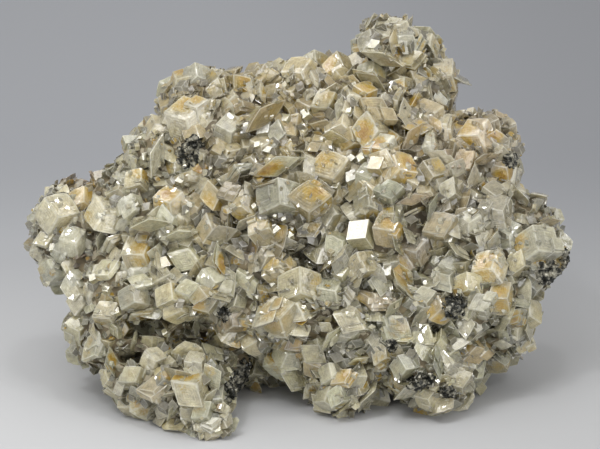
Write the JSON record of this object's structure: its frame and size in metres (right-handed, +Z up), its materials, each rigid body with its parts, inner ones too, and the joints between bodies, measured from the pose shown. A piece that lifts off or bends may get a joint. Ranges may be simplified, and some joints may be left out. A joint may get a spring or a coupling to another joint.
{
  "type": "cadmian smithsonite specimen",
  "caption": "Cabinet mineral specimen: pale tan smithsonite rhombs grown together over a lumpy mass of ore, leaning back on three feet and a broken rear base.",
  "frame": {"origin": "middle of the specimen's footprint box, on the surface it stands on", "axes": "+Z up, +X to the right of someone who looks at the crystal face, and the face looks towards -Y and leans back"},
  "size_m": [0.111, 0.062, 0.0734],
  "materials": {
    "smithsonite": "translucent zinc carbonate, glassy to pearly on crystal faces, with amber cores and patches of dark granular sulphide"
  },
  "bodies": {
    "root": {"smithsonite_cluster": "smithsonite"}
  },
  "joints": []
}
